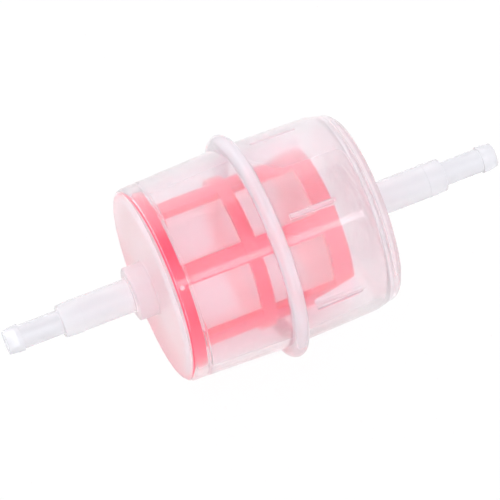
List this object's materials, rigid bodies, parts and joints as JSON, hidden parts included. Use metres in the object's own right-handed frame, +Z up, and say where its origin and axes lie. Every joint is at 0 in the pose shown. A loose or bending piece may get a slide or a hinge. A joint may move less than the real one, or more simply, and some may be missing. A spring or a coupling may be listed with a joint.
{
  "type": "fuel filter",
  "caption": "Inline fuel filter: clear round plastic housing closed by a welded bead ring, stepped hose nipples at both ends, red strainer cage with fine mesh inside.",
  "frame": {"origin": "middle of the filter's length between the two hose nipples' tips, on the flow axis", "axes": "+X along the flow axis from the outlet end to the inlet end; +Z up; the body is round about X"},
  "size_m": [0.1254, 0.0558, 0.0558],
  "materials": {
    "clear_shell": "clear moulded plastic, faintly milky, glossy",
    "weld_bead": "clear moulded plastic with small bubbles, glossy",
    "cage_plastic": "red translucent moulded nylon",
    "screen_mesh": "fine woven nylon screen, pale pink"
  },
  "bodies": {
    "root": {"outlet_shell": "clear_shell", "inlet_shell": "clear_shell", "weld_ring": "weld_bead", "strainer_cage": "cage_plastic", "mesh_sleeve": "screen_mesh"}
  },
  "joints": []
}
